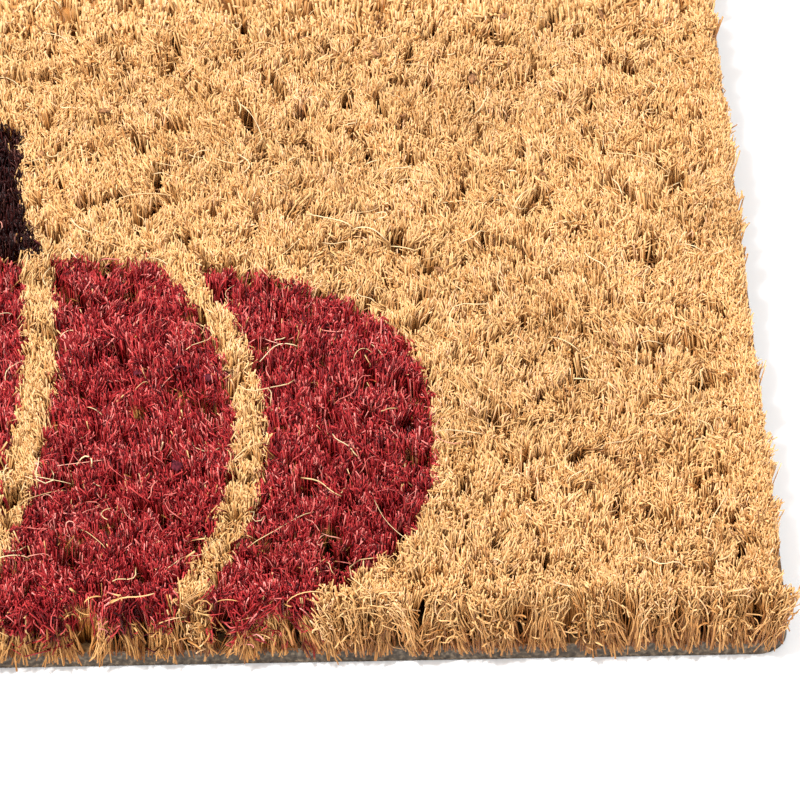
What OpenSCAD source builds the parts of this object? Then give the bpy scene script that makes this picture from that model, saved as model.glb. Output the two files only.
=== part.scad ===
// Printed coir door mat: a PVC backing sheet with coir yarn tufts standing in it.
// The tufts are grouped by the dye that they carry: undyed ground, lobes and stems.
// Origin: centre of the underside, +X along the long side, +Y away from the printed
// edge, +Z up, millimetres.

/* [Mat] */
// Length of the mat along X
mat_length = 600; // [560:10:900]
// Width of the mat along Y
mat_width = 400; // [300:10:600]
// Radius of the four corners of the backing sheet
corner_radius = 5; // [2:1:20]

/* [Layers] */
// Thickness of the PVC backing sheet
backing_thickness = 3; // [2:0.5:5]
// Height of the tufts above the backing sheet
pile_height = 12; // [8:1:20]
// Bare rim of backing sheet that is left outside the tufts
rim = 1; // [0.5:0.5:4]
// Clear space between tufts of different colours
seam = 0.2; // [0.1:0.1:1]

/* [Print] */
// Distance from one pumpkin's middle to the next
pumpkin_pitch = 166.5; // [164:0.5:190]
// Width of one pumpkin
pumpkin_width = 160; // [120:1:160]
// Distance from the front edge of the mat to a pumpkin's widest line
pumpkin_rise = 37.5; // [20:0.5:50]
// Distance from a pumpkin's widest line to its top
pumpkin_reach = 45; // [40:0.5:60]
// Squareness of a pumpkin's outline, where 2 is an ellipse
squareness = 2.8; // [2:0.1:4]
// Width of the undyed strip between two lobes
strip_width = 5; // [3:0.5:8]
// Length of a stem from its foot to its tip
stem_length = 33; // [15:1:45]
// Half width of a stem at its tip
stem_half_tip = 12.8; // [6:0.2:14]
// Half width of a stem at its foot
stem_half_foot = 17; // [8:0.5:22]
// Plain ground between a pumpkin's top and its stem
stem_gap = 1.5; // [0.5:0.5:4]

/* [Hidden] */

// The pumpkins' middles along X
left_x = -pumpkin_pitch;
middle_x = 0;
right_x = pumpkin_pitch;

// Levels and lines that several parts share
front_y = -mat_width / 2;
pile_half_length = mat_length / 2 - rim;
// The pile is rounded at its corners as the backing sheet is, but inside the rim
// and never sharper than the smallest corner
smallest_corner = 0.5;
pile_corner = max(corner_radius - rim, smallest_corner);
pumpkin_y = front_y + pumpkin_rise;
stem_foot_y = pumpkin_y + pumpkin_reach + stem_gap;
stem_tip_y = stem_foot_y + stem_length;
// A stem is widest at its foot, and tapers until this share of its length
stem_taper_end = 0.45;
stem_taper_bend = 0.2;
// Where the plain ground behind the pumpkins begins, just clear of the stems
ground_margin = 4;
back_pile_y = stem_tip_y + ground_margin;

// Numbers of points round a pumpkin, along one side of a strip and round a corner's circle
outline_points = 72;
strip_points = 18;
corner_points = 48;

// Colours of the preview
plain_colour = [0.87, 0.66, 0.42];
stem_colour = [0.17, 0.09, 0.09];
lobe_colour = "firebrick";
sheet_colour = [0.36, 0.35, 0.34];

// The two strips on each side of a pumpkin's middle are arcs of tall ellipses.
// Each has its distance from the middle at the widest, the height of that place above
// the front edge, and its own half height. The distances are those of a pumpkin of the
// drawn width, and change with the width.
drawn_width = 160;
inner_strip = [17.2, 60, 63];
outer_strip = [51, 38, 64];
// How far the strips' ends pass the front edge and a pumpkin's top before they are cut off
strip_end_low = 1;
strip_end_high = 2;

// Point of a superellipse at an angle, for half axes a and b
function super_point(a, b, n, angle) = [
  a * sign(cos(angle)) * pow(abs(cos(angle)), 2 / n),
  b * sign(sin(angle)) * pow(abs(sin(angle)), 2 / n)
];

// Distance of a strip's centre line from the pumpkin's middle at a height above the edge
function strip_x(strip, y) =
  strip[0] * (pumpkin_width / drawn_width) * sqrt(max(0, 1 - pow((y - strip[1]) / strip[2], 2)));

// Height of point i on a strip's side, from just below the edge to just above the top
function strip_y(i) =
  -strip_end_low
  + i * (pumpkin_rise + pumpkin_reach + strip_end_low + strip_end_high) / (strip_points - 1);

// One side of a strip, moved sideways by shift
function strip_side(strip, shift) = [
  for (i = [0 : strip_points - 1]) [strip_x(strip, strip_y(i)) + shift, front_y + strip_y(i)]
];

// A list in reverse order
function backwards(list) = [for (i = [len(list) - 1 : -1 : 0]) list[i]];

// Rectangle with rounded corners, centred on the origin
module rounded_rectangle(length, width, radius) {
  union() {
    square([length - 2 * radius, width], center = true);
    square([length, width - 2 * radius], center = true);
    for (sx = [-1, 1]) {
      for (sy = [-1, 1]) {
        translate([sx * (length / 2 - radius), sy * (width / 2 - radius)])
          circle(r = radius, $fn = corner_points);
      }
    }
  }
}

// Outline of the whole pile
module pile_outline() {
  rounded_rectangle(2 * pile_half_length, mat_width - 2 * rim, pile_corner);
}

// Everything of the plan that lies in front of the line where the plain ground begins
module front_band() {
  translate([-mat_length / 2, front_y])
    square([mat_length, back_pile_y - front_y]);
}

// Outline of one pumpkin without its stem, grown by the given amount
module pumpkin_outline(grow) {
  translate([0, pumpkin_y])
    polygon([
      for (i = [0 : outline_points - 1])
        super_point(
          pumpkin_width / 2 + grow,
          pumpkin_reach + grow,
          squareness,
          360 * i / outline_points
        )
    ]);
}

// Outline of one stem, wider at its foot, grown by the given amount
module stem_outline(grow) {
  polygon([
    [-stem_half_foot - grow, stem_foot_y - grow],
    [stem_half_foot + grow, stem_foot_y - grow],
    [(stem_half_foot + stem_half_tip) / 2 + grow, stem_foot_y + stem_length * stem_taper_bend],
    [stem_half_tip + grow, stem_foot_y + stem_length * stem_taper_end],
    [stem_half_tip + grow, stem_tip_y + grow],
    [-stem_half_tip - grow, stem_tip_y + grow],
    [-stem_half_tip - grow, stem_foot_y + stem_length * stem_taper_end],
    [-(stem_half_foot + stem_half_tip) / 2 - grow, stem_foot_y + stem_length * stem_taper_bend]
  ]);
}

// Plan of one curved strip, on the right of the middle, with the given total width
module strip_plan(strip, width) {
  polygon(concat(
    strip_side(strip, width / 2),
    backwards(strip_side(strip, -width / 2))
  ));
}

// Plan of the band between two strips, or from the outer strip to beyond the outline
module band_plan(from_strip, to_strip) {
  polygon(concat(
    strip_side(from_strip, strip_width / 2 + seam / 2),
    backwards(strip_side(to_strip, -strip_width / 2 - seam / 2))
  ));
}

// Plan of the middle lobe's band, between the two inner strips
module middle_band_plan() {
  side = strip_side(inner_strip, -strip_width / 2 - seam / 2);
  polygon(concat(side, backwards([for (p = side) [-p[0], p[1]]])));
}

// Plan of the band outside the outer strip
module outer_band_plan() {
  polygon(concat(
    strip_side(outer_strip, strip_width / 2 + seam / 2),
    [[pumpkin_width, front_y + strip_y(strip_points - 1)], [pumpkin_width, front_y + strip_y(0)]]
  ));
}

// Plan of lobe 1 to 5 of a pumpkin, counted from its left
module lobe_plan(index) {
  if (index == 1) mirror([1, 0]) outer_band_plan();
  if (index == 2) mirror([1, 0]) band_plan(inner_strip, outer_strip);
  if (index == 3) middle_band_plan();
  if (index == 4) band_plan(inner_strip, outer_strip);
  if (index == 5) outer_band_plan();
}

// A slab of tufts that stands on the backing sheet
module tufts() {
  translate([0, 0, backing_thickness])
    linear_extrude(height = pile_height)
      children();
}

// Tufts of one dyed lobe of the pumpkin at x
module lobe(x, index) {
  color(lobe_colour)
    tufts()
      intersection() {
        translate([x, 0]) lobe_plan(index);
        translate([x, 0]) pumpkin_outline(0);
        pile_outline();
      }
}

// Tufts of the dark stem of the pumpkin at x
module stem(x) {
  color(stem_colour)
    tufts()
      translate([x, 0]) stem_outline(0);
}

// Undyed tufts of the four strips between the lobes of the pumpkin at x
module strips(x) {
  color(plain_colour)
    tufts()
      intersection() {
        translate([x, 0])
          union() {
            for (side = [0, 1]) {
              mirror([side, 0]) {
                strip_plan(inner_strip, strip_width - seam / 2);
                strip_plan(outer_strip, strip_width - seam / 2);
              }
            }
          }
        translate([x, 0]) pumpkin_outline(0);
        pile_outline();
      }
}

// Flat PVC sheet that holds the tufts, with rounded corners
module backing() {
  color(sheet_colour)
    linear_extrude(height = backing_thickness)
      rounded_rectangle(mat_length, mat_width, corner_radius);
}

// Undyed tufts behind the row of pumpkins
module plain_pile_back() {
  color(plain_colour)
    tufts()
      difference() {
        pile_outline();
        front_band();
      }
}

// Undyed tufts round the pumpkins and their stems
module plain_pile_front() {
  color(plain_colour)
    tufts()
      difference() {
        intersection() {
          pile_outline();
          translate([0, -seam]) front_band();
        }
        for (x = [left_x, middle_x, right_x]) {
          translate([x, 0]) {
            pumpkin_outline(seam);
            stem_outline(seam);
          }
        }
      }
}

backing();
plain_pile_back();
plain_pile_front();
lobe(left_x, 1);  // left_lobe_1
lobe(left_x, 2);  // left_lobe_2
lobe(left_x, 3);  // left_lobe_3
lobe(left_x, 4);  // left_lobe_4
lobe(left_x, 5);  // left_lobe_5
stem(left_x);  // left_stem
strips(left_x);  // left_strips
lobe(middle_x, 1);  // middle_lobe_1
lobe(middle_x, 2);  // middle_lobe_2
lobe(middle_x, 3);  // middle_lobe_3
lobe(middle_x, 4);  // middle_lobe_4
lobe(middle_x, 5);  // middle_lobe_5
stem(middle_x);  // middle_stem
strips(middle_x);  // middle_strips
lobe(right_x, 1);  // right_lobe_1
lobe(right_x, 2);  // right_lobe_2
lobe(right_x, 3);  // right_lobe_3
lobe(right_x, 4);  // right_lobe_4
lobe(right_x, 5);  // right_lobe_5
stem(right_x);  // right_stem
strips(right_x);  // right_strips
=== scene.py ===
"""Printed coir door mat: every coir fibre, the PVC backing sheet and the studio round them."""
import math

import bpy
import numpy as np
from mathutils import Matrix, Vector


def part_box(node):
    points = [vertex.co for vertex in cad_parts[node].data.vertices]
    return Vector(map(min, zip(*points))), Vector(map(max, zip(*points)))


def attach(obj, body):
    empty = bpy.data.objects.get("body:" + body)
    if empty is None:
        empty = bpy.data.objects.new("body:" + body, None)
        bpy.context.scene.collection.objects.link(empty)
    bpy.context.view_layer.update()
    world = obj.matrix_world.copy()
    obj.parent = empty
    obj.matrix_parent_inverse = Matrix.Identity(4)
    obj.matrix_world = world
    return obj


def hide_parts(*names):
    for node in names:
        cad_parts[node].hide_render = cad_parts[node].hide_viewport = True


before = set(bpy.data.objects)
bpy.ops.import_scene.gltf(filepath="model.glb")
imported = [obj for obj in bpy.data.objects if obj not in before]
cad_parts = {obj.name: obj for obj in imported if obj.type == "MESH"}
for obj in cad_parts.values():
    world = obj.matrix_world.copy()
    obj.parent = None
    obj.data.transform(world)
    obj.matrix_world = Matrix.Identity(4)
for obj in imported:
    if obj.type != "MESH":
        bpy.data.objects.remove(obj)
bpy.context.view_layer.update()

# ---- sizes, in metres
MM = 0.001
sheet_low, sheet_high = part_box("backing")
SHEET_TOP = sheet_high.z
PILE_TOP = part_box("plain_pile_back")[1].z
PILE_HEIGHT = PILE_TOP - SHEET_TOP
NEAR_CORNER = Vector((sheet_high.x, sheet_low.y, 0.0))
HALF_SIZE = np.array([sheet_high.x, sheet_high.y])
RIM = sheet_high.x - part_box("plain_pile_back")[1].x
SHEET_CORNER_RADIUS = 5 * MM

PRINTED_NODES = [
    f"{place}_{part}"
    for place in ("left", "middle", "right")
    for part in ("lobe_1", "lobe_2", "lobe_3", "lobe_4", "lobe_5", "stem")
]
PLAIN_NODES = ["plain_pile_back", "plain_pile_front", "left_strips", "middle_strips", "right_strips"]

# How the yarn is set in the sheet
TUFT_PITCH = 5.0 * MM
TUFT_FOOT_RADIUS = 1.5 * MM
TUFT_HEAD_RADIUS = 2.75 * MM
STRANDS = 5  # strands of yarn in a tuft
STRAND_RADIUS = 1.35 * MM  # of a strand's spread tips
SIDE_INSET = 1.8 * MM  # from the short edges of the sheet to the nearest fibre feet
LONG_EDGE_INSET = 1.6 * MM  # the same on the long edges, in front of which the cut tufts stand
FIBRES_NEAR = 132  # fibres in a tuft close to the camera's corner
FIBRES_FAR = 19  # thicker fibres in a tuft elsewhere
RADIUS_NEAR = 0.126 * MM
RADIUS_FAR = 0.36 * MM
FOOT_DEPTH = 0.6 * MM  # how deep a foot stands in the sheet
BENT_SHARE = 0.60  # share of the finest fibres that are modelled with bends
# The field of the finest tufts reaches this far from the near corner, and fades out at its end
FINE_REACH_X = 140 * MM
FINE_REACH_Y = 160 * MM
FINE_FADE = 20 * MM
DYE_DEPTH = 0.56  # share of a fibre, from its tip, that the dye colours
MOST_FACES = 190000  # triangles that one piece may hold

rng = np.random.default_rng(671)


# ---- small tools
def link(obj):
    bpy.context.scene.collection.objects.link(obj)
    return obj


def footprint(node):
    """Triangles of a CAD node's top face, as an array of (triangle, corner, x and y)."""
    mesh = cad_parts[node].data
    mesh.calc_loop_triangles()
    top = max(v.co.z for v in mesh.vertices)
    corners = np.array([v.co[:] for v in mesh.vertices])
    triangles = np.array([t.vertices[:] for t in mesh.loop_triangles])
    on_top = (corners[triangles][:, :, 2] > top - 0.1 * MM).all(axis=1)
    return corners[triangles[on_top]][:, :, :2]


def inside(points, triangles):
    """Which points (n, 2) lie in any of the triangles."""
    found = np.zeros(len(points), bool)
    low = triangles.min(axis=(0, 1))
    high = triangles.max(axis=(0, 1))
    near = np.flatnonzero(((points >= low) & (points <= high)).all(axis=1))
    spot = points[near]
    hit = np.zeros(len(near), bool)
    for corners in triangles:
        sides = np.array([
            (b[0] - a[0]) * (spot[:, 1] - a[1]) - (b[1] - a[1]) * (spot[:, 0] - a[0])
            for a, b in zip(corners, np.roll(corners, -1, axis=0))
        ])
        hit |= (sides >= 0).all(axis=0) | (sides <= 0).all(axis=0)
    found[near] = hit
    return found


def unit(vectors):
    return vectors / np.maximum(np.linalg.norm(vectors, axis=-1, keepdims=True), 1e-12)


# ---- materials
class Look:
    """A new material, with short ways to add nodes whose inputs are sockets or plain values."""

    def __init__(self, name):
        self.material = bpy.data.materials.new(name)
        self.material.use_nodes = True

    def feed(self, node, inputs):
        for name, value in inputs.items():
            if isinstance(value, bpy.types.NodeSocket):
                self.material.node_tree.links.new(value, node.inputs[name])
            else:
                node.inputs[name].default_value = value

    def add(self, kind, inputs, **settings):
        node = self.material.node_tree.nodes.new(kind)
        for name, value in settings.items():
            setattr(node, name, value)
        self.feed(node, inputs)
        return node

    def place(self):
        """Where a point is, in metres and in the object's own frame."""
        return self.add("ShaderNodeTexCoord", {}).outputs["Object"]

    def split(self, vector):
        """The three parts of a vector."""
        return self.add("ShaderNodeSeparateXYZ", {0: vector}).outputs

    def noise(self, place, scale, detail):
        inputs = {"Vector": place, "Scale": scale, "Detail": detail}
        return self.add("ShaderNodeTexNoise", inputs).outputs["Fac"]

    def ramp(self, value, stops):
        """The colour for a value, from stops of (place, colour)."""
        node = self.add("ShaderNodeValToRGB", {0: value})
        elements = node.color_ramp.elements
        while len(elements) < len(stops):
            elements.new(0.5)
        for element, (place, colour) in zip(elements, stops):
            element.position = place
            element.color = (*colour, 1.0)
        return node.outputs[0]

    def calculate(self, operation, *values):
        inputs = dict(enumerate(values))
        return self.add("ShaderNodeMath", inputs, operation=operation).outputs[0]

    def rise(self, value, low, high, top=1.0, curve="LINEAR"):
        """0 up to the value low, then rising to top at the value high."""
        inputs = {"Value": value, "From Min": low, "From Max": high, "To Max": top}
        return self.add("ShaderNodeMapRange", inputs, interpolation_type=curve).outputs[0]

    def mix(self, blend, factor, first, second):
        inputs = {0: factor, 6: first, 7: second}
        return self.add("ShaderNodeMix", inputs, data_type="RGBA", blend_type=blend).outputs[2]

    def surface(self, inputs):
        """The material, once its surface has these inputs."""
        self.feed(self.material.node_tree.nodes["Principled BSDF"], inputs)
        return self.material


SOAK = 0.9  # how far fine noise moves the end of the dye along a fibre
DRAIN = 2.2  # how far coarse noise moves it
DYE_BLUR = 0.1  # half of the stretch over which the dye ends
ALWAYS_DYED = (0.70, 0.84)  # where along a fibre the sure dye of its tip begins and is full

# Painted shade and light: the fibres are painted darker deep down in the pile, where its shade falls,
# and a little lighter at their tips
PAINTED_DEPTH_SHADE_STOPS = [
    (0.00, (0.42, 0.23, 0.09)),
    (0.45, (0.79, 0.58, 0.36)),
    (0.80, (0.98, 0.90, 0.79)),
    (0.95, (1.00, 1.00, 1.00)),
    (1.00, (1.09, 1.08, 1.06)),
]
# Darker over the lowest part of each fibre, towards its foot
FOOT_DARKENING_STOPS = [(0.0, (0.68, 0.58, 0.48)), (0.22, (1.0, 1.0, 1.0))]
SPECK_STOPS = [(0.30, (0.72, 0.68, 0.64)), (0.62, (1.08, 1.05, 1.0))]
SPECK_STRENGTH = 0.8
PATCH_STOPS = [(0.30, (0.88, 0.86, 0.84)), (0.70, (1.06, 1.05, 1.04))]
WHITE = (1.0, 1.0, 1.0, 1.0)


def dyed_share(look, place, along, dye_depth):
    """How much of the tip colour a point has. The dye ends raggedly, but the tips all have it."""
    soak = look.noise(place, scale=330.0, detail=2.0)
    drain = look.noise(place, scale=95.0, detail=1.0)
    moved = look.calculate("MULTIPLY_ADD", soak, SOAK, along)
    moved = look.calculate("MULTIPLY_ADD", drain, DRAIN, moved)
    end = 1.0 - dye_depth + 0.5 * (SOAK + DRAIN)
    soaked = look.rise(moved, end - DYE_BLUR, end + DYE_BLUR, curve="SMOOTHSTEP")
    return look.calculate("MAXIMUM", soaked, look.rise(along, *ALWAYS_DYED))


def coir_material(name, tip_tone_and_highlight_stops, root_stops, dye_depth, roughness, gloss):
    """Coir: tip colour by each fibre's tone, root colour lower down, painted shade deeper in the
    pile, and darker towards the sheet.
    """
    look = Look(name)
    fibre = look.add("ShaderNodeAttribute", {}, attribute_name="fibre").outputs["Vector"]
    tone, along, openness = look.split(fibre)
    place = look.place()
    # tip colour by tone; in the red and black prints the palest stops are in part painted highlight
    tips = look.ramp(tone, tip_tone_and_highlight_stops)
    roots = look.ramp(tone, root_stops)
    colour = look.mix("MIX", dyed_share(look, place, along, dye_depth), roots, tips)

    # the painted depth shade shows less on fibres that stand open to the light
    painted_depth_shade = look.mix("MIX", openness, look.ramp(along, PAINTED_DEPTH_SHADE_STOPS), WHITE)
    colour = look.mix("MULTIPLY", 1.0, colour, painted_depth_shade)
    colour = look.mix("MULTIPLY", 1.0, colour, look.ramp(along, FOOT_DARKENING_STOPS))
    specks = look.ramp(look.noise(place, scale=1100.0, detail=3.0), SPECK_STOPS)
    colour = look.mix("MULTIPLY", SPECK_STRENGTH, colour, specks)
    patches = look.ramp(look.noise(place, scale=28.0, detail=4.0), PATCH_STOPS)
    colour = look.mix("MULTIPLY", 1.0, colour, patches)
    return look.surface({
        "Base Color": colour,
        "Roughness": roughness,
        "Specular IOR Level": gloss,
    })


NATURAL_STOPS = [
    (0.00, (0.15, 0.060, 0.018)),
    (0.16, (0.40, 0.180, 0.050)),
    (0.45, (0.57, 0.345, 0.140)),
    (0.78, (0.68, 0.430, 0.203)),
    (1.00, (0.76, 0.480, 0.285)),
]
ROOT_STOPS = [
    (0.00, (0.18, 0.070, 0.020)),
    (0.45, (0.56, 0.300, 0.108)),
    (1.00, (0.72, 0.440, 0.190)),
]
# Red tone that differs at random from fibre to fibre; the palest stops are in part a painted
# highlight for the glints of the red fibres
RED_STOPS_WITH_PAINTED_HIGHLIGHT = [
    (0.00, (0.025, 0.0003, 0.0006)),
    (0.25, (0.072, 0.0015, 0.0032)),
    (0.55, (0.248, 0.0115, 0.0155)),
    (0.80, (0.440, 0.0440, 0.0440)),
    (1.00, (0.680, 0.2500, 0.2250)),
]
# Black print; the palest stop is in part a painted highlight for the glints of the black fibres
DARK_STOPS_WITH_PAINTED_HIGHLIGHT = [
    (0.00, (0.004, 0.0005, 0.0005)),
    (0.50, (0.008, 0.0006, 0.0006)),
    (0.90, (0.040, 0.0080, 0.0070)),
    (1.00, (0.140, 0.0580, 0.0470)),
]
PALE_STOPS = [
    (0.00, (0.40, 0.22, 0.09)),
    (0.60, (0.66, 0.47, 0.24)),
    (1.00, (0.76, 0.63, 0.40)),
]
RED_STRAY_STOPS = [
    (0.00, (0.20, 0.010, 0.014)),
    (0.55, (0.48, 0.070, 0.065)),
    (1.00, (0.72, 0.360, 0.270)),
]
MATERIALS = {
    "plain": coir_material(
        "plain_coir_fibre", NATURAL_STOPS, ROOT_STOPS, dye_depth=0.4, roughness=0.42, gloss=0.25
    ),
    "red": coir_material(
        "red_coir_fibre", RED_STOPS_WITH_PAINTED_HIGHLIGHT, ROOT_STOPS, DYE_DEPTH, roughness=0.33, gloss=0.13
    ),
    "dark": coir_material(
        "dark_coir_fibre", DARK_STOPS_WITH_PAINTED_HIGHLIGHT, ROOT_STOPS, DYE_DEPTH + 0.1, roughness=0.30, gloss=0.11
    ),
    "stray": coir_material(
        "pale_stray_fibre", PALE_STOPS, PALE_STOPS, dye_depth=1.0, roughness=0.40, gloss=0.40
    ),
    "red_stray": coir_material(
        "red_stray_fibre", RED_STRAY_STOPS, RED_STRAY_STOPS, dye_depth=1.0, roughness=0.40, gloss=0.40
    ),
}


# ---- fibres as meshes
class Fibres:
    """Fibres with the same number of rings.

    lines: centre lines, radii: at each ring, places: of the rings from foot (0) to tip (1),
    tone: from dark (0) to pale (1), openness: from deep in the pile (0) to free in the light (1),
    sides: of the tube that each becomes.
    """

    def __init__(self, lines, radii, places, tone, openness, sides=3):
        self.lines = lines
        self.radii = radii
        self.places = places
        self.tone = tone
        self.openness = openness
        self.sides = sides

    def pick(self, chosen):
        return Fibres(
            self.lines[chosen], self.radii[chosen], self.places,
            self.tone[chosen], self.openness[chosen], self.sides,
        )

    def faces_each(self):
        return 2 * self.sides * (len(self.places) - 1) + 2 * (self.sides - 2)

    def tips(self):
        return self.lines[:, -1, :2]


def tube_points(fibres):
    """Points of tubes round centre lines, as an array of (fibre, ring, corner, axis)."""
    along = unit(np.gradient(fibres.lines, axis=1))
    # the tone, which differs from fibre to fibre, also turns each tube its own way
    turn = 7e3 * np.pi * fibres.tone
    side = np.stack([np.cos(turn), np.sin(turn), 0.3 * np.sin(3 * turn)], axis=1)[:, None, :]
    side = unit(side - (side * along).sum(axis=2, keepdims=True) * along)
    other = np.cross(along, side)
    angles = (np.arange(fibres.sides) * 2 * np.pi / fibres.sides)[:, None]
    ring = side[:, :, None, :] * np.cos(angles) + other[:, :, None, :] * np.sin(angles)
    return fibres.lines[:, :, None, :] + ring * fibres.radii[:, :, None, None]


def tube_faces(count, rings, sides, first_vertex):
    """Loops and face sizes of closed tubes: their sides, then their feet, then their tips."""
    first = first_vertex + np.arange(count)[:, None, None, None] * rings * sides
    level = np.arange(rings - 1)[None, :, None, None] * sides
    corner = np.arange(sides)[None, None, :, None]
    after = (corner + 1) % sides
    quads = np.concatenate([
        first + level + corner,
        first + level + after,
        first + level + sides + after,
        first + level + sides + corner,
    ], axis=3).reshape(-1, 4)
    foot = first[:, 0, 0] + np.arange(sides)[::-1]
    tip = first[:, 0, 0] + (rings - 1) * sides + np.arange(sides)
    loops = np.concatenate([quads.ravel(), foot.ravel(), tip.ravel()])
    sizes = np.concatenate([np.full(len(quads), 4), np.full(2 * count, sides)])
    return loops, sizes


def tube_arrays(fibres, first_vertex, first_cell, grid):
    """Points, loops, face sizes, attribute values and texture places of closed tubes."""
    count, rings, _ = fibres.lines.shape
    sides = fibres.sides
    points = tube_points(fibres)
    loops, sizes = tube_faces(count, rings, sides, first_vertex)

    # the tone of each fibre, how far along it a point is, and how open it stands
    values = np.empty((count, rings, sides, 3), np.float32)
    values[..., 0] = fibres.tone[:, None, None]
    values[..., 1] = fibres.places[None, :, None]
    values[..., 2] = fibres.openness[:, None, None]

    # one small cell of the texture for each fibre
    cell = first_cell + np.arange(count)
    across = np.broadcast_to(np.linspace(0.2, 0.8, sides), (count, rings, sides))
    upward = np.broadcast_to(0.15 + 0.7 * fibres.places[:, None], (count, rings, sides))
    texture = np.stack([
        (cell % grid)[:, None, None] + across,
        (cell // grid)[:, None, None] + upward,
    ], axis=3) / grid
    return points.reshape(-1, 3), loops, sizes, values.reshape(-1, 3), texture.reshape(-1, 2)


def fibre_mesh(name, groups):
    """One mesh of several groups of fibres."""
    total = sum(len(g.tone) for g in groups)
    grid = math.ceil(math.sqrt(total))
    parts = []
    vertex, cell = 0, 0
    for group in groups:
        parts.append(tube_arrays(group, vertex, cell, grid))
        vertex += len(parts[-1][0])
        cell += len(group.tone)
    points, loops, sizes, values, texture = (np.concatenate(column) for column in zip(*parts))
    starts = np.concatenate([[0], np.cumsum(sizes)[:-1]])

    mesh = bpy.data.meshes.new(name)
    mesh.vertices.add(len(points))
    mesh.vertices.foreach_set("co", points.astype(np.float32).ravel())
    mesh.loops.add(len(loops))
    mesh.loops.foreach_set("vertex_index", loops.astype(np.int32))
    mesh.polygons.add(len(sizes))
    mesh.polygons.foreach_set("loop_start", starts.astype(np.int32))
    mesh.polygons.foreach_set("use_smooth", np.ones(len(sizes), bool))
    mesh.update(calc_edges=True)
    attribute = mesh.attributes.new("fibre", "FLOAT_VECTOR", "POINT")
    attribute.data.foreach_set("vector", values.ravel())
    layer = mesh.uv_layers.new(name="OFBake")
    layer.data.foreach_set("uv", texture[loops].astype(np.float32).ravel())
    return mesh


def fibre_piece(name, groups, kind, nodes):
    groups = [g for g in groups if len(g.tone)]
    mesh = fibre_mesh(name, groups)
    mesh.materials.append(MATERIALS[kind])
    piece = link(bpy.data.objects.new(name, mesh))
    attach(piece, "root")
    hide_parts(*nodes)


# ---- the pile
REACH_X = sheet_high.x - SIDE_INSET - TUFT_FOOT_RADIUS
REACH_Y = sheet_high.y - LONG_EDGE_INSET - TUFT_FOOT_RADIUS
ROW_SHARE = 0.87  # of the pitch, from row to row of a hexagonal grid
FOOT_JITTER = 0.13  # of the pitch
DRIFT = 0.045  # of the lean that neighbours share
OWN_LEAN = 0.055  # of a tuft's own lean
EDGE_LEAN = 0.10  # outward at the long cut edges, where the pile has nothing to lean on
EDGE_DEPTH = 9 * MM  # how far in from them this is felt
TUFT_HEIGHT = (0.985, 0.026)  # mean and spread, as shares of the pile's height
TONE_SPREAD = 0.06  # of tufts, and of the strands in one


def tuft_places():
    """Middles of the tufts' feet: a jittered hexagonal grid inside the pile's outline."""
    columns = round(2 * REACH_X / TUFT_PITCH)
    rows = round(2 * REACH_Y / (TUFT_PITCH * ROW_SHARE))
    grid_x, grid_y = np.meshgrid(
        np.linspace(-REACH_X, REACH_X, columns), np.linspace(-REACH_Y, REACH_Y, rows)
    )
    grid_x[1::2] += TUFT_PITCH / 2
    feet = np.stack([grid_x.ravel(), grid_y.ravel()], axis=1)
    feet += rng.normal(0, FOOT_JITTER * TUFT_PITCH, feet.shape)
    return clip_to_sheet(feet, REACH_X, REACH_Y)


def clip_to_sheet(points, reach_x, reach_y):
    """Points moved inside a rectangle whose corners are rounded as the sheet's are."""
    radius = max(SHEET_CORNER_RADIUS - (sheet_high.x - reach_x), 1 * MM)
    limit = np.array([reach_x, reach_y])
    core = limit - radius
    nearest = np.clip(points, -core, core)
    away = points - nearest
    distance = np.linalg.norm(away, axis=1, keepdims=True)
    in_corner = (away != 0).all(axis=1, keepdims=True)
    rounded = nearest + away * np.minimum(1, radius / np.maximum(distance, 1e-9))
    return np.where(in_corner, rounded, np.clip(points, -limit, limit))


def fineness(points):
    """1 in the field of finest fibres round the near corner, down to 0 elsewhere."""
    away_x = NEAR_CORNER.x - points[:, 0] - FINE_REACH_X
    away_y = points[:, 1] - NEAR_CORNER.y - FINE_REACH_Y
    return np.clip(-np.maximum(away_x, away_y) / FINE_FADE, 0, 1)


def drift(points):
    """A slow, wavy lean that neighbouring tufts share."""
    x, y = points[:, 0] / MM, points[:, 1] / MM
    lean_x = np.sin(x / 17 + 1.3 * np.sin(y / 23)) + 0.6 * np.sin(y / 11 + x / 31)
    lean_y = np.cos(y / 19 + 1.1 * np.sin(x / 27)) + 0.6 * np.sin(x / 13 - y / 29)
    return DRIFT * np.stack([lean_x, lean_y], axis=1)


def make_tufts():
    """One row for each tuft: place, fineness, lean, height, head radius, spin and tone."""
    feet = tuft_places()
    at_edge = np.exp(-(sheet_high.y - np.abs(feet[:, 1])) / EDGE_DEPTH)
    lean = rng.normal(0, OWN_LEAN, (len(feet), 2)) + drift(feet)
    lean[:, 1] += EDGE_LEAN * at_edge * np.sign(feet[:, 1])
    return {
        "feet": feet,
        "fine": fineness(feet),
        "lean": lean,
        "height": PILE_HEIGHT * (rng.normal(*TUFT_HEIGHT, len(feet)) - 0.02 * at_edge),
        "head": TUFT_HEAD_RADIUS * rng.uniform(0.88, 1.12, len(feet)),
        "spin": rng.uniform(0, 2 * np.pi, len(feet)),
        "tone": rng.normal(0, TONE_SPREAD, len(feet)),
    }


STRAND_TURN = 0.30  # spread of the strands' angles round their tuft
INNER_STRAND = (0.0, 0.25)  # how far it stands from the tuft's middle, as a share of its radius
OUTER_STRANDS = (0.55, 0.85)
STRAND_STRAY = 0.30 * MM
STRAND_KINK = 0.65 * MM


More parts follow.
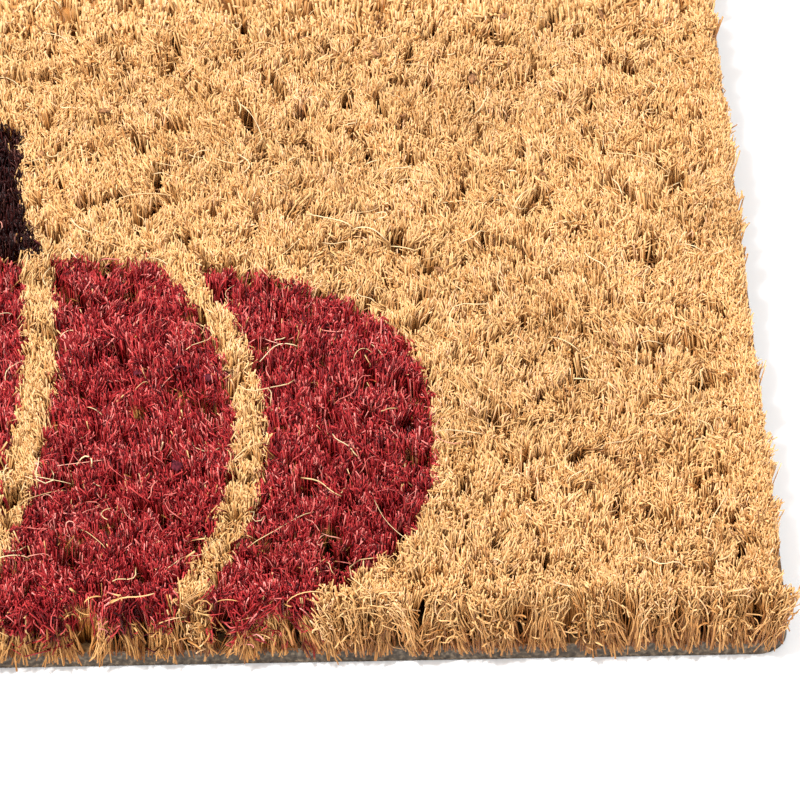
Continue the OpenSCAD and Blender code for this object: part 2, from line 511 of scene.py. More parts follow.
def make_strands(tufts):
    """One row for each strand: one stands in the middle of its tuft and the others round it."""
    tuft = np.repeat(np.arange(len(tufts["feet"])), STRANDS)
    number = np.tile(np.arange(STRANDS), len(tufts["feet"]))
    count = len(tuft)
    angle = 2 * np.pi * number / (STRANDS - 1) + tufts["spin"][tuft]
    angle = angle + rng.normal(0, STRAND_TURN, count)
    inner, outer = rng.uniform(*INNER_STRAND, count), rng.uniform(*OUTER_STRANDS, count)
    out = np.where(number == 0, inner, outer)
    place = np.stack([np.cos(angle), np.sin(angle)], axis=1) * out[:, None]
    lean = tufts["lean"][tuft] * PILE_HEIGHT
    stray = rng.normal(0, STRAND_STRAY, (count, 2))
    height = tufts["height"][tuft] * (1 - 0.08 * out ** 2)
    return {
        "foot": tufts["feet"][tuft] + place * (TUFT_FOOT_RADIUS - 0.4 * MM),
        "tip": tufts["feet"][tuft] + lean + place * tufts["head"][tuft][:, None] + stray,
        "height": height + rng.normal(0, STRAND_STRAY, count),
        "radius": STRAND_RADIUS * rng.uniform(0.75, 1.25, count),
        "kink": rng.normal(0, STRAND_KINK, (count, 2)),
        "fine": tufts["fine"][tuft],
        "tone": tufts["tone"][tuft] + rng.normal(0, TONE_SPREAD, count),
    }


STRAND_FOOT_RADIUS = 0.55 * MM
FIBRE_STRAY = 0.22 * MM
FUZZ = 0.25 * MM  # how far tips reach past the line that the others keep to
FUZZ_INSET = 0.8 * MM  # of that line from the long edges
UNCUT_SHARE = 0.05  # of the fibres, which the last shearing missed
UNCUT_LENGTH = 0.6 * MM
FIBRE_BOW = 0.36 * MM
FIBRE_KINK = 0.45 * MM
DYED_EXTRA = 0.2  # how many more fibres are in the finest dyed tufts, as a share
DYED_GIRTH = 0.90  # radius of dyed fibres, as a share of the plain ones'
DYED_FINER = 0.10  # how much less it is in the finest tufts


def fibre_ends(strands, strand):
    """Foot and tip of every upright fibre, from the number of the strand that it is in."""
    count = len(strand)
    angle = rng.uniform(0, 2 * np.pi, count)
    out = np.sqrt(rng.random(count))
    spread = np.stack([np.cos(angle), np.sin(angle)], axis=1) * out[:, None]
    foot = clip_to_sheet(
        strands["foot"][strand] + spread * STRAND_FOOT_RADIUS,
        sheet_high.x - SIDE_INSET, sheet_high.y - LONG_EDGE_INSET,
    )
    tip = strands["tip"][strand] + spread * strands["radius"][strand][:, None]
    tip += rng.normal(0, FIBRE_STRAY, (count, 2))
    # tips stay over the sheet, apart from a little fuzz
    fuzz = rng.exponential(FUZZ, (count, 1))
    kept = clip_to_sheet(tip, sheet_high.x - SIDE_INSET, sheet_high.y - FUZZ_INSET)
    over = tip - kept
    tip = kept + unit(over) * np.minimum(np.linalg.norm(over, axis=1, keepdims=True), fuzz)

    tall = strands["height"][strand] - 0.50 * MM * out ** 2 + rng.normal(0, 0.25 * MM, count)
    uncut = rng.random(count) < UNCUT_SHARE
    tall += np.where(uncut, rng.exponential(UNCUT_LENGTH, count), 0)
    foot = np.column_stack([foot, np.full(count, SHEET_TOP - FOOT_DEPTH)])
    return foot, np.column_stack([tip, SHEET_TOP + tall])


def grow_fibres(strands):
    """Every upright fibre: foot, tip, bow, kink, radius, tone and fineness."""
    fine = strands["fine"]
    number = (FIBRES_FAR + (FIBRES_NEAR - FIBRES_FAR) * fine) / STRANDS
    dyed = printed_area(strands["tip"]) >= 0
    number *= np.where(dyed, 1 + DYED_EXTRA * fine, 1)
    number = np.floor(number * rng.uniform(0.7, 1.3, len(fine)) + rng.random(len(fine)))
    strand = np.repeat(np.arange(len(fine)), number.astype(int))
    count = len(strand)
    foot, tip = fibre_ends(strands, strand)
    bow = rng.normal(0, FIBRE_BOW, (count, 2))
    # the dye curled the fibres one by one, where the plain ones still bend strand by strand
    dyed = dyed[strand]
    own_kink = rng.normal(0, FIBRE_KINK, (count, 2)) * np.where(dyed, 1.15, 1.0)[:, None]
    kink = strands["kink"][strand] * np.where(dyed, 0.70, 1.0)[:, None] + own_kink
    fine = fine[strand]
    radius = (RADIUS_FAR + (RADIUS_NEAR - RADIUS_FAR) * fine) * rng.lognormal(0, 0.25, count)
    radius *= np.where(dyed, DYED_GIRTH - DYED_FINER * fine, 1.0)
    # the dye covers the yarn's own differences, but hardly takes on single fibres
    own_tone = np.where(dyed, rng.beta(1.8, 1.6, count), rng.beta(2.4, 2.2, count))
    tone = np.clip(own_tone + strands["tone"][strand] * np.where(dyed, 0.5, 1.0), 0, 1)
    return foot, tip, bow, kink, radius, tone, fine


# Rings of straight and bent fibres, by the share of their height, and two shapes of bend
STRAIGHT = np.array([0.0, 1.0])
BENT = np.array([0.0, 0.79, 0.905, 1.0])
KINK = (BENT, [0.0, -0.25, 0.2, 1.0])
BOW = (BENT, [0.0, 0.2, 1.0, 0.0])


def fibre_lines(foot, tip, places, bow, kink):
    """Centre lines from foot to tip, with a bow near the top and a kink towards the tip."""
    run = foot[:, None, :] + (tip - foot)[:, None, :] * places[None, :, None]
    run[:, :, :2] += bow[:, None, :] * np.interp(places, *BOW)[None, :, None]
    run[:, :, :2] += kink[:, None, :] * np.interp(places, *KINK)[None, :, None]
    return run


def tapered(radius, places):
    """Radii at the rings: a fibre is thickest at its foot."""
    return radius[:, None] * (1.08 - 0.24 * places)[None, :]


# Rings of a core, by the share of its tuft's height
CORE = np.array([0.0, 0.60, 0.78])
CORE_RADII = np.array([1.8, 2.35, 1.1]) * MM
CORE_SIDES = 5
CORE_INSET = 6 * MM  # no cores show at the mat's edges
CORE_OPENNESS = 0.60


def make_cores(tufts):
    """The compact lower part of each coarse tuft, where the yarn is still twisted together."""
    well_inside = (np.abs(tufts["feet"]) < HALF_SIZE - CORE_INSET).all(axis=1)
    chosen = (tufts["fine"] < 0.5) & well_inside
    tufts = {key: value[chosen] for key, value in tufts.items()}
    count = len(tufts["feet"])
    height = (tufts["height"] * rng.uniform(0.93, 1.05, count))[:, None] * CORE
    lines = np.empty((count, len(CORE), 3))
    lines[:, :, :2] = tufts["feet"][:, None, :] + tufts["lean"][:, None, :] * height[:, :, None]
    lines[:, :, 2] = SHEET_TOP + height
    lines[:, 0, 2] -= FOOT_DEPTH
    radii = CORE_RADII * rng.uniform(0.9, 1.1, (count, 1))
    tone = np.clip(0.35 + tufts["tone"] + rng.normal(0, 0.08, count), 0, 1)
    return Fibres(lines, radii, CORE, tone, np.full(count, CORE_OPENNESS), CORE_SIDES)


LITTER = np.array([0.0, 0.4, 0.75, 1.0])
LITTER_PER_MM2 = 0.55
LITTER_LENGTH = 4.0 * MM
LITTER_RADIUS = 0.13 * MM
LITTER_INSET = 4 * MM  # where it starts, from the mat's edges
LITTER_RIM = 2 * MM  # how near to them it may come
LITTER_HEIGHT = (2.0 * MM, 8.5 * MM)  # above the sheet, at one end
LITTER_RISE = (1.0 * MM, 1.2 * MM)  # mean and spread, from that end to the other
LOWEST_LITTER = 0.3 * MM
LITTER_OPENNESS = 0.35


def make_litter():
    """Short broken ends that lie every way between the finest tufts, half-way down the pile."""
    reach = FINE_REACH_X + FINE_FADE, FINE_REACH_Y + FINE_FADE
    count = int(LITTER_PER_MM2 * reach[0] * reach[1] / MM ** 2)
    start = np.stack([
        sheet_high.x - LITTER_INSET - rng.uniform(0, reach[0], count),
        sheet_low.y + LITTER_INSET + rng.uniform(0, reach[1], count),
    ], axis=1)
    heading = rng.uniform(0, 2 * np.pi, count)
    angle = heading[:, None] + rng.normal(0, 1.1, count)[:, None] * LITTER
    step = rng.lognormal(math.log(LITTER_LENGTH), 0.35, count)[:, None] * np.gradient(LITTER)
    lines = np.empty((count, len(LITTER), 3))
    lines[:, :, 0] = start[:, :1] + np.cumsum(np.cos(angle) * step, axis=1)
    lines[:, :, 1] = start[:, 1:] + np.cumsum(np.sin(angle) * step, axis=1)
    low = rng.uniform(*LITTER_HEIGHT, count)[:, None]
    lines[:, :, 2] = SHEET_TOP + low + rng.normal(*LITTER_RISE, count)[:, None] * LITTER
    limit = HALF_SIZE - LITTER_RIM
    lines[:, :, :2] = np.clip(lines[:, :, :2], -limit, limit)
    lines[:, :, 2] = np.maximum(lines[:, :, 2], SHEET_TOP + LOWEST_LITTER)
    radius = rng.lognormal(math.log(LITTER_RADIUS), 0.2, count)
    tone = rng.beta(2.2, 2.2, count)
    return Fibres(lines, tapered(radius, LITTER), LITTER, tone, np.full(count, LITTER_OPENNESS))


COARSE_OPENNESS = 0.35  # more light gets in between the coarse tufts


def make_pile():
    """Straight fibres, bent fibres, compact cores and broken ends of the whole mat."""
    tufts = make_tufts()
    foot, tip, bow, kink, radius, tone, fine = grow_fibres(make_strands(tufts))
    bent = rng.random(len(tone)) < BENT_SHARE * fine
    openness = COARSE_OPENNESS * (1 - fine)
    groups = []
    for chosen, places in ((~bent, STRAIGHT), (bent, BENT)):
        lines = fibre_lines(foot[chosen], tip[chosen], places, bow[chosen], kink[chosen])
        radii = tapered(radius[chosen], places)
        groups.append(Fibres(lines, radii, places, tone[chosen], openness[chosen]))
    return [*groups, make_cores(tufts), make_litter()]


PRINT_WAVE = 0.45 * MM  # how far the line of the print wavers
PRINT_BLUR = 0.22 * MM  # how far it strays at random
PRINT_INSET = 0.2 * MM  # just inside the printed nodes' outer sides
MISSED = 0.006  # share of the fibres that the dye missed


def printed_area(tips):
    """Which printed node each tip stands in, or -1. The print was laid on from above."""
    x, y = tips[:, 0] / MM, tips[:, 1] / MM
    wave_x = np.sin(1.31 * y + 2 * np.sin(0.37 * x))
    wave_y = np.sin(1.17 * x + 2 * np.sin(0.41 * y))
    ragged = tips + PRINT_WAVE * np.stack([wave_x, wave_y], axis=1)
    ragged += rng.normal(0, PRINT_BLUR, tips.shape)
    # ends that stick out over the edge were dyed with those just inside it
    limit = HALF_SIZE - RIM - PRINT_INSET
    ragged = np.clip(ragged, -limit, limit)
    area = np.full(len(tips), -1)
    for index, node in enumerate(PRINTED_NODES):
        area[inside(ragged, footprint(node))] = index
    area[rng.random(len(area)) < MISSED] = -1
    return area


def share_out(groups):
    """Splits groups of fibres into strips along the mat, so that no mesh grows too heavy."""
    across = np.concatenate([g.tips()[:, 1] for g in groups])
    weight = np.concatenate([np.full(len(g.tone), g.faces_each()) for g in groups])
    order = np.argsort(across)
    total = np.cumsum(weight[order])
    strips = max(1, math.ceil(total[-1] / MOST_FACES))
    cuts = [across[order[np.searchsorted(total, total[-1] * k / strips)]] for k in range(1, strips)]
    limits = [-np.inf, *cuts, np.inf]
    return [
        [g.pick((g.tips()[:, 1] >= low) & (g.tips()[:, 1] < high)) for g in groups]
        for low, high in zip(limits[:-1], limits[1:])
    ]


def sort_and_build(groups):
    """Gives each fibre to the node that its tip stands in, and builds the pieces."""
    areas = [printed_area(g.tips()) for g in groups]
    for index, node in enumerate(PRINTED_NODES):
        kind = "dark" if node.endswith("stem") else "red"
        chosen = [g.pick(area == index) for g, area in zip(groups, areas)]
        strips = share_out(chosen)
        for number, strip in enumerate(strips):
            suffix = f"_{number + 1}" if len(strips) > 1 else ""
            fibre_piece(f"{node}_tufts{suffix}", strip, kind, [node])
    plain = [g.pick(area < 0) for g, area in zip(groups, areas)]
    # a strip that reaches this far back holds nothing of the nodes round the print
    back_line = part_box("plain_pile_back")[0].y + 40 * MM
    for number, strip in enumerate(share_out(plain)):
        highest = max(g.tips()[:, 1].max() for g in strip if len(g.tone))
        nodes = PLAIN_NODES[:1] if highest > back_line else PLAIN_NODES
        fibre_piece(f"plain_tufts_{number + 1:02d}", strip, "plain", nodes)


# ---- the cut edges
EDGE_PITCH = 3.9 * MM  # between the tufts that stand along an edge
EDGE_JITTER = 0.55 * MM
EDGE_INSETS = (0.4 * MM, 2.0 * MM)
EDGE_TUFT_LEAN = 0.17  # spread of their lean along the edge
LOW_ENDS = (0.0, 1.2 * MM)  # how far down the sheet's side the lowest feet of a tuft reach
EDGE_FIBRES_NEAR = 104
EDGE_FIBRES_FAR = 24
EDGE = np.array([0.0, 0.16, 0.34, 0.55, 0.76, 0.90, 1.0])
LONG_EDGE_END = 3.6 * MM  # from the ends of a long edge to its last tufts
SHORT_EDGE_END = 2.6 * MM
SHORT_EDGE_INSET = 2.1 * MM  # of the line on which the tufts of the short edges stand
CUT, NEAT = 1.0, 0.15  # wildness of the long edges, cut through tufts, and of the short ones
# Shapes of an edge tuft from its feet (0) to its tips (1): first four sizes in millimetres
HALF_WIDTH = ([0, 0.30, 0.65, 1], [1.62, 1.28, 1.58, 2.25])
HALF_DEPTH = ([0, 0.30, 0.65, 1], [1.0, 0.9, 1.2, 1.6])
FALL = ([0, 0.4, 1], [0.3, 0.8, 2.0])  # how far the slackest tufts hang outward
FAN = ([0, 0.15, 0.5, 1], [0.7, 0.4, 0.1, 0.5])  # how far its front fibres stand out
INWARD = ([0, 0.2, 0.5, 1], [0.1, 0.7, 1.0, 1.1])  # then the share of its own inset
FILL_SHARE = 0.18  # of the fibres, which fill the room between their tuft and the next
FILL_WIDTH = 1.7  # how much further from the tuft's middle these stand
FREE_SHARE = 0.50  # of the outer fibres, whose lower ends the blade left free
FREE_HEIGHT = 5.0 * MM  # of the highest free ends above the other feet
FREE_OUT = 1.0 * MM  # how far they stand out from the tuft, and move along the edge
FREE_ALONG = 0.9 * MM
MOST_WORN = 0.75  # of the outer fibres' wear
LOOSE_SHARE = 0.50  # of the outer fibres of the loosest tufts, which were cut short
SHORT_OUT = (0.8 * MM, 2.4 * MM)  # how far these hang out over the edge
SHORT_ALONG = 1.3 * MM
EDGE_FOOT_DEPTH = 0.3 * MM
LOWEST_FOOT = 1.4 * MM  # above the floor
CURL_REACH = 0.27 * MM
TIP_CURL = 0.45 * MM
FOOT_CURL = 0.25 * MM
FRINGE = (0.3, 2.4)  # millimetres that fibres stand out at most, and more by wildness
EDGE_OPENNESS = (0.12, 1.20)  # in the middle of a tuft, and more towards its front


def turned(lines, quarter_turns):
    """Lines turned about the mat's middle, counter-clockwise as seen from above."""
    angle = quarter_turns * np.pi / 2
    cosine, sine = round(math.cos(angle)), round(math.sin(angle))
    result = lines.copy()
    result[..., 0] = cosine * lines[..., 0] - sine * lines[..., 1]
    result[..., 1] = sine * lines[..., 0] + cosine * lines[..., 1]
    return result


def between(steps, values):
    """Values at the rings of an edge fibre, from values at a few steps along it."""
    return np.interp(EDGE, steps, values)[None, :]


def edge_tufts(length, across, quarter_turns, wildness):
    """One row for each tuft of one edge: place, lean, fall, width, tone and fineness."""
    count = round(length / EDGE_PITCH)
    middle = np.linspace(-length / 2, length / 2, count) + rng.normal(0, EDGE_JITTER, count)
    spot = turned(np.column_stack([middle, np.full(count, -across)]), quarter_turns)
    return {
        "middle": middle,
        "inward": rng.uniform(*EDGE_INSETS, count),
        "lean": rng.normal(0, EDGE_TUFT_LEAN, count),
        "fall": rng.beta(1.2, 2.6, count) * wildness,
        "low_end": rng.uniform(*LOW_ENDS, count) * wildness,
        "width": rng.uniform(0.85, 1.25, count),
        "tone": rng.normal(0, 0.07, count),
        "fine": fineness(spot),
    }


def edge_stand(own, u, v, across, wildness):
    """Standing fibres of edge tufts: x and y at each ring, and the heights of foot and top.

    own: the tufts' values for each fibre, u and v: its place in its tuft, from -1 to 1.
    """
    size = (len(u), 1)
    front = np.maximum(-v, 0)
    wide = own["width"] * between(*HALF_WIDTH) * MM
    wide = wide * np.where(rng.random(size) < FILL_SHARE, FILL_WIDTH, 1.0)
    x = own["middle"] + own["lean"] * EDGE * PILE_HEIGHT + u * wide
    y = -across + own["inward"] * between(*INWARD) + v * between(*HALF_DEPTH) * MM
    y = y - own["fall"] * between(*FALL) * MM
    y = y - front * wildness * between(*FAN) * MM

    foot = SHEET_TOP - EDGE_FOOT_DEPTH - front * own["low_end"] * (1 - 0.8 * u ** 2)
    foot = np.maximum(foot + rng.normal(0, 0.22 * MM, size), LOWEST_FOOT)
    free = rng.random(size) < FREE_SHARE * wildness * (front > 0.15)
    foot = np.where(free, foot + rng.uniform(0, FREE_HEIGHT, size), foot)
    y = np.where(free, y - rng.uniform(0, FREE_OUT, size) * (1 - EDGE) ** 2, y)
    x = np.where(free, x + rng.normal(0, FREE_ALONG, size) * (1 - EDGE) ** 2, x)
    # towards the outside the tuft was worn and cut lower, as on an old brush
    worn = front * rng.uniform(0.0, MOST_WORN, size) * (0.25 + 0.75 * wildness)
    top = PILE_HEIGHT * (0.99 - 0.04 * (u ** 2 + v ** 2) - 0.7 * worn - 0.12 * own["fall"])
    top = SHEET_TOP + top + rng.normal(0, 0.30 * MM, size)
    return x, y, foot, top


# From 0 at 0.3 of a fibre's length away from its tip or foot, up to 1 there
NEAR_TIP = np.maximum(EDGE - 0.7, 0) ** 2 / 0.09
NEAR_FOOT = np.maximum(0.3 - EDGE, 0) ** 2 / 0.09


def add_curl(line):
    """Curls fibres along one axis, each in its own way and most at its ends."""
    size = (len(line), 1)
    phase = rng.uniform(0, 2 * np.pi, size)
    turns = rng.uniform(0.8, 2.2, size)
    reach = rng.exponential(CURL_REACH, size) * (0.7 + np.abs(EDGE - 0.4) * 1.3)
    line += reach * np.sin(phase + 2 * np.pi * turns * EDGE)
    line += rng.normal(0, TIP_CURL, size) * NEAR_TIP
    line += rng.normal(0, FOOT_CURL, size) * NEAR_FOOT


def held(y, z, across, wildness):
    """Fibres held back near their edge, and out of the solid part of the sheet."""
    y = np.maximum(y, -across - (FRINGE[0] + FRINGE[1] * wildness) * MM)
    outside = np.minimum(y, -across - 0.02 * MM)
    return np.where(z < SHEET_TOP, outside, y)


def edge_looks(own, front):
    """Tone, radius and openness of edge fibres."""
    tone = np.clip(rng.beta(2.2, 2.2, len(front)) + own["tone"][:, 0], 0, 1)
    radius = RADIUS_FAR + (RADIUS_NEAR - RADIUS_FAR) * own["fine"][:, 0]
    radius = radius * rng.lognormal(0.05, 0.22, len(front))
    openness = np.clip(EDGE_OPENNESS[0] + EDGE_OPENNESS[1] * front[:, 0], 0, 1)
    return tone, radius, openness


def edge_side(length, across, quarter_turns, wildness):
    """Tufts along one edge, made along +X at y = -across with outward as -Y, then turned.

    Their feet fan out over the cut side of the sheet, and each tuft draws together above
    them, then opens into its head.
    """
    tufts = edge_tufts(length, across, quarter_turns, wildness)
    number = EDGE_FIBRES_FAR + (EDGE_FIBRES_NEAR - EDGE_FIBRES_FAR) * tufts["fine"]
    number = (number * rng.uniform(0.8, 1.2, len(number))).astype(int)
    tuft = np.repeat(np.arange(len(number)), number)
    own = {key: value[tuft][:, None] for key, value in tufts.items()}
    size = (len(tuft), 1)
    angle = rng.uniform(0, 2 * np.pi, size)
    out = np.sqrt(rng.random(size))
    u, v = np.cos(angle) * out, np.sin(angle) * out
    front = np.maximum(-v, 0)
    x, y, foot, top = edge_stand(own, u, v, across, wildness)
    z = foot + (top - foot) * EDGE

    # some were cut short and hang out over the edge in an arch
    loose = LOOSE_SHARE * rng.random((len(number), 1)) ** 3
    short = rng.random(size) < loose[tuft] * wildness * (front > 0)
    arch = rng.uniform(0.30, 0.85, size) * (1.9 * EDGE - 1.25 * EDGE ** 2)
    z = np.where(short, foot + (top - foot) * arch, z)
    y = np.where(short, -across - rng.uniform(*SHORT_OUT, size) * EDGE ** 1.4, y)
    x = np.where(short, x + u * SHORT_ALONG * EDGE, x)

    add_curl(x)
    add_curl(y)
    y = held(y, z, across, wildness)
    lines = turned(np.stack([x, y, z], axis=2), quarter_turns)
    tone, radius, openness = edge_looks(own, front)
    # the dye ends a little higher here than inside the pile
    return Fibres(lines, tapered(radius, EDGE), EDGE ** 1.2, tone, openness)


def make_edges():
    """Tufts of the four edges, counter-clockwise from the front."""
    long_way = 2 * (sheet_high.x - LONG_EDGE_END)
    short_way = 2 * (sheet_high.y - SHORT_EDGE_END)
    side_line = sheet_high.x - SHORT_EDGE_INSET
    return [
        edge_side(long_way, sheet_high.y, 0, CUT),
        edge_side(short_way, side_line, 1, NEAT),
        edge_side(long_way, sheet_high.y, 2, CUT),
        edge_side(short_way, side_line, 3, NEAT),
    ]


# ---- strays and flecks
TOP_INSET = 5 * MM  # from the mat's edges to what lies on its pile
STRAY = np.linspace(0, 1, 8)
MAT_AREA = 4 * sheet_high.x * sheet_high.y / MM ** 2
STRAYS_PER_MM2 = 0.015
STRAY_LENGTH = 5.0 * MM
STRAY_RADIUS = 0.09 * MM
STRAY_BEND = 1.5  # spread of the turn from end to end, in radians
STRAY_WAVER = 0.5
STRAY_LIFT = (0.2 * MM, 1.2 * MM)
STRAY_DEPTH = (0.4 * MM, 1.5 * MM)
STRAY_INSET = 6 * MM  # from the short edges
DYED_STRAYS = 0.62  # share of those on the print that are dyed
CURLS_PER_MM = 0.9
CURL_LENGTH = 4.5 * MM
CURL_RADIUS = 0.105 * MM
CURL_BEND = 2.6
CURL_START = (0.5 * MM, 10.0 * MM)  # above the sheet


def make_strays():
    """Long loose ends that lie in curves over the pile."""
    count = int(MAT_AREA * STRAYS_PER_MM2)
    reach_x, reach_y = HALF_SIZE - (STRAY_INSET, TOP_INSET)
    start = np.stack([
        rng.uniform(-reach_x, reach_x, count),
        rng.uniform(-reach_y, reach_y, count),
    ], axis=1)
    long = rng.lognormal(math.log(STRAY_LENGTH), 0.42, count)
    heading = rng.uniform(0, 2 * np.pi, count)
    bend = rng.normal(0, STRAY_BEND, count)
    waver = rng.normal(0, STRAY_WAVER, count)
    angle = heading[:, None] + bend[:, None] * STRAY + waver[:, None] * np.sin(2 * np.pi * STRAY)
    step = long[:, None] / (len(STRAY) - 1)
    x = start[:, :1] + np.cumsum(np.cos(angle) * step, axis=1) - np.cos(angle[:, :1]) * step
    y = start[:, 1:] + np.cumsum(np.sin(angle) * step, axis=1) - np.sin(angle[:, :1]) * step
    # one end or both stay stuck in the pile
    lift = rng.uniform(*STRAY_LIFT, count)[:, None]
    rise = np.sin(np.pi * STRAY) ** 0.7 * lift
    loose = (rng.random(count) < 0.5)[:, None]
    rise = np.where(loose, STRAY * lift * 1.2, rise)
    z = PILE_TOP - rng.uniform(*STRAY_DEPTH, count)[:, None] + rise
    radius = rng.lognormal(math.log(STRAY_RADIUS), 0.20, count)
    tone = rng.beta(4.0, 1.6, count)
    lines = np.stack([x, y, z], axis=2)
    return Fibres(lines, tapered(radius, STRAY), STRAY, tone, np.ones(count))


def edge_curls(length, across, quarter_turns):
    """Loose curly ends that hang on the cut face of one edge, made along +X and turned."""
    count = int(length / MM * CURLS_PER_MM)
    start_x = rng.uniform(-length / 2, length / 2, count)
    start_z = SHEET_TOP + rng.uniform(*CURL_START, count)
    long = rng.lognormal(math.log(CURL_LENGTH), 0.40, count)
    heading = rng.normal(np.pi / 2, 1.1, count)
    bend = rng.normal(0, CURL_BEND, count)
    angle = heading[:, None] + bend[:, None] * STRAY
    step = long[:, None] / (len(STRAY) - 1)
    x = start_x[:, None] + np.cumsum(np.cos(angle) * step, axis=1)
    x = np.clip(x, -length / 2 - 4 * MM, length / 2 + 4 * MM)
    z = start_z[:, None] + np.cumsum(np.sin(angle) * step, axis=1)
    z = np.clip(z, 1.5 * MM, PILE_TOP + 0.3 * MM)
    bulge = np.sin(np.pi * STRAY) * rng.uniform(0.2, 1.4, count)[:, None]
    y = -across - (rng.uniform(-0.9, 0.5, count)[:, None] + bulge) * MM
    y = np.where(z < SHEET_TOP, np.minimum(y, -across - 0.1 * MM), y)
    lines = turned(np.stack([x, y, z], axis=2), quarter_turns)
    radius = rng.lognormal(math.log(CURL_RADIUS), 0.20, count)
    tone = rng.beta(3.0, 2.0, count)
    return Fibres(lines, tapered(radius, STRAY), STRAY, tone, np.ones(count))


def make_curls():
    """Curly ends of the two long edges."""
    long_way = 2 * (sheet_high.x - TOP_INSET)
    return [edge_curls(long_way, sheet_high.y, turns) for turns in (0, 2)]


def add_strays():
    """Most strays on the print are dyed. The others came up after the dyeing."""
    strays = make_strays()
    on_print = printed_area(strays.lines[:, len(STRAY) // 2, :2]) >= 0
    dyed = on_print & (rng.random(len(on_print)) < DYED_STRAYS)
    fibre_piece("stray_fibres_plain", [strays.pick(~dyed)], "stray", [])
    fibre_piece("stray_fibres_red", [strays.pick(dyed)], "red_stray", [])


FLECKS_PER_MM2 = 0.0017
FLECK_RADIUS = 0.75 * MM
FLECK_DEPTH = (0.2 * MM, 1.1 * MM)
FLECK_SIDES = 8
# Rings of a fleck from its top to its underside: share of its radius, and level
FLECK_LEVELS = [(0.0, 0.5), (0.72, 0.35), (1.0, 0.0), (0.62, -0.35), (0.0, -0.5)]


def husk_material(name, dark, pale):
    """Crumbly pith of the coconut husk."""
    look = Look(name)
    crumbs = look.noise(look.place(), scale=2200.0, detail=4.0)
    return look.surface({
        "Base Color": look.ramp(crumbs, [(0.35, dark), (0.68, pale)]),
        "Roughness": 0.75,
        "Specular IOR Level": 0.12,
    })


def make_flecks():
    """Middles, sizes and tilts of the bits of husk that are caught in the pile's top."""
    count = int(MAT_AREA * FLECKS_PER_MM2)
    reach_x, reach_y = HALF_SIZE - TOP_INSET
    middle = np.column_stack([
        rng.uniform(-reach_x, reach_x, count),
        rng.uniform(-reach_y, reach_y, count),
        PILE_TOP - rng.uniform(*FLECK_DEPTH, count),
    ])
    size = rng.lognormal(math.log(FLECK_RADIUS), 0.3, count)
    tilt = rng.normal(0, 0.5, (count, 2))
    return middle, size, tilt


def fleck_mesh(name, middle, size, tilt):
    """Thin, uneven, tilted flakes, all in one mesh."""
    turn = np.arange(FLECK_SIDES) * 2 * np.pi / FLECK_SIDES
    points, faces = [], []
    for spot, reach, (lean_x, lean_y) in zip(middle, size, tilt):
        first = len(points)
        outline = reach * rng.uniform(0.65, 1.25, FLECK_SIDES)
        outline[rng.integers(FLECK_SIDES)] *= 1.5
        for share, level in FLECK_LEVELS:
            ring_x = np.cos(turn) * outline * share
            ring_y = np.sin(turn) * outline * share
            bumps = rng.normal(0, 0.12, FLECK_SIDES) * reach * (share > 0)
            ring_z = level * 0.45 * reach + bumps + lean_x * ring_x + lean_y * ring_y
            if share == 0.0:
                points.append((spot[0], spot[1], spot[2] + ring_z[0]))
            else:
                points.extend(zip(spot[0] + ring_x, spot[1] + ring_y, spot[2] + ring_z))
        last = len(points) - 1
        for side in range(FLECK_SIDES):
            after = (side + 1) % FLECK_SIDES
            faces.append((first, first + 1 + side, first + 1 + after))
            for ring in (first + 1, first + 1 + FLECK_SIDES):
                faces.append((ring + side, ring + FLECK_SIDES + side,
                              ring + FLECK_SIDES + after, ring + after))
            faces.append((last, last - FLECK_SIDES + after, last - FLECK_SIDES + side))
    mesh = bpy.data.meshes.new(name)
    mesh.from_pydata(points, [], faces)
    mesh.shade_smooth()
    return mesh


def add_flecks():
    middle, size, tilt = make_flecks()
    on_print = printed_area(middle[:, :2]) >= 0
    for label, chosen, dark, pale in (
        ("plain", ~on_print, (0.075, 0.028, 0.012), (0.42, 0.200, 0.085)),
        ("red", on_print, (0.016, 0.002, 0.004), (0.13, 0.014, 0.024)),
    ):
        name = f"husk_flecks_{label}"
        mesh = fleck_mesh(name, middle[chosen], size[chosen], tilt[chosen])
        mesh.materials.append(husk_material(name, dark, pale))
        piece = link(bpy.data.objects.new(name, mesh))
        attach(piece, "root")


# ---- backing sheet
GREY_STOPS = [
    (0.30, (0.018, 0.012, 0.008)),
    (0.50, (0.058, 0.042, 0.028)),
    (0.72, (0.180, 0.131, 0.086)),
]
CLOUD_STOPS = [(0.35, (0.78, 0.78, 0.78)), (0.65, (1.15, 1.14, 1.12))]
# Painted shade of the faint dimples round the tufts' feet
PAINTED_DIMPLE_SHADE_STOPS = [(0.10, (0.72, 0.71, 0.69)), (0.45, (1.05, 1.05, 1.05))]
PAINTED_DIMPLE_SHADE_STRENGTH = 0.8
COIR_DUST_STOPS = [(0.35, (0.110, 0.054, 0.020)), (0.65, (0.310, 0.170, 0.070))]
DUST_COVER = 0.85


def sheet_grey(look, place, grain):
    """Cloudy grey, whose underside shows faint dimples where the tufts stand, as painted shade."""
    grey = look.ramp(grain, GREY_STOPS)
    clouds = look.ramp(look.noise(place, scale=40.0, detail=3.0), CLOUD_STOPS)
    grey = look.mix("MULTIPLY", 1.0, grey, clouds)
    feet = look.add("ShaderNodeTexVoronoi", {"Vector": place, "Scale": 1.0 / TUFT_PITCH})
    # painted shade: darker near the middle of each tuft's foot
    painted_dimple_shade = look.ramp(feet.outputs["Distance"], PAINTED_DIMPLE_SHADE_STOPS)
    return look.mix("MULTIPLY", PAINTED_DIMPLE_SHADE_STRENGTH, grey, painted_dimple_shade)


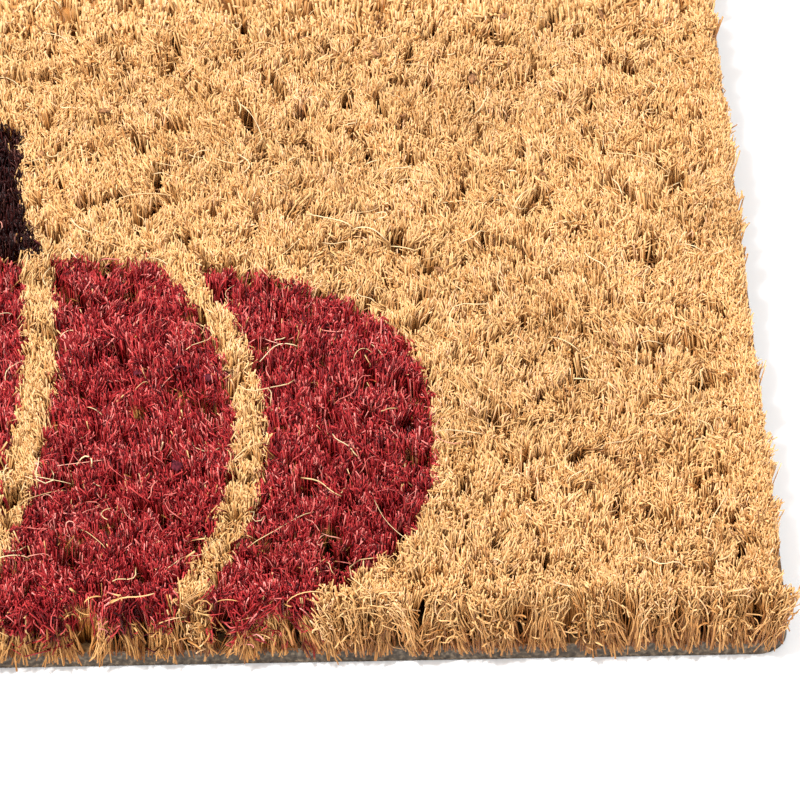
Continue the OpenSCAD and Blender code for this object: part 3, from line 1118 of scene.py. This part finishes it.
def backing_material():
    """Grey PVC with a fine grain. Between the tufts, coir dust covers the top of the sheet."""
    look = Look("grey_pvc")
    place = look.place()
    grain = look.noise(place, scale=1400.0, detail=5.0)
    dust = look.ramp(grain, COIR_DUST_STOPS)
    height = look.split(place)["Z"]
    on_top = look.rise(height, SHEET_TOP - 0.10 * MM, SHEET_TOP - 0.02 * MM, top=DUST_COVER)
    bump = look.add("ShaderNodeBump", {"Height": grain, "Distance": 0.12 * MM, "Strength": 0.8})
    return look.surface({
        "Base Color": look.mix("MIX", on_top, sheet_grey(look, place, grain), dust),
        "Roughness": 0.62,
        "Specular IOR Level": 0.25,
        "Normal": bump.outputs[0],
    })


def dress_backing():
    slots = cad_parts["backing"].data.materials
    slots.clear()
    slots.append(backing_material())


# ---- studio
def make_floor():
    mesh = bpy.data.meshes.new("studio_floor")
    half = 6.0
    drop = -0.2 * MM
    corners = [(-half, -half, drop), (half, -half, drop), (half, half, drop), (-half, half, drop)]
    mesh.from_pydata(corners, [], [(0, 1, 2, 3)])
    pale = {"Base Color": (0.95, 0.95, 0.95, 1.0), "Roughness": 0.8}
    mesh.materials.append(Look("studio_floor").surface(pale))
    link(bpy.data.objects.new("studio_floor", mesh))


def area_light(name, place, target, size, power):
    light = bpy.data.lights.new(name, "AREA")
    light.shape = "DISK"
    light.size = size
    light.energy = power
    lamp = link(bpy.data.objects.new(name, light))
    lamp.location = place
    lamp.rotation_euler = (Vector(target) - Vector(place)).to_track_quat("-Z", "Y").to_euler()


def make_studio():
    make_floor()
    world = bpy.data.worlds.new("studio")
    world.use_nodes = True
    background = world.node_tree.nodes["Background"].inputs
    background["Color"].default_value = WHITE
    background["Strength"].default_value = 1.0
    bpy.context.scene.world = world
    area_light("key", (-0.7, -0.6, 2.2), (0.1, -0.1, 0), size=0.45, power=104)
    area_light("front", (0.9, -2.0, 1.4), (0, 0, 0), size=0.8, power=26)
    bpy.context.scene.view_settings.view_transform = "Standard"


def make_camera():
    """Long lens, looking down at the near right corner."""
    distance = 0.814
    elevation = math.radians(41.0)
    turn = math.radians(1.5)
    aim = Vector((-58.3, 61.0, 0)) * MM
    forward = Vector((
        math.sin(turn) * math.cos(elevation),
        math.cos(turn) * math.cos(elevation),
        -math.sin(elevation),
    ))
    camera = bpy.data.cameras.new("camera")
    camera.lens = 225.0
    camera.sensor_width = 36.0
    holder = link(bpy.data.objects.new("camera", camera))
    holder.location = NEAR_CORNER + aim - forward * distance
    right = forward.cross(Vector((0, 0, 1))).normalized()
    up = right.cross(forward)
    holder.rotation_euler = Matrix((right, up, -forward)).transposed().to_euler()
    camera.clip_start = 0.01
    camera.clip_end = 50
    bpy.context.scene.camera = holder


sort_and_build([*make_pile(), *make_edges(), *make_curls()])
add_strays()
add_flecks()
dress_backing()
make_studio()
make_camera()
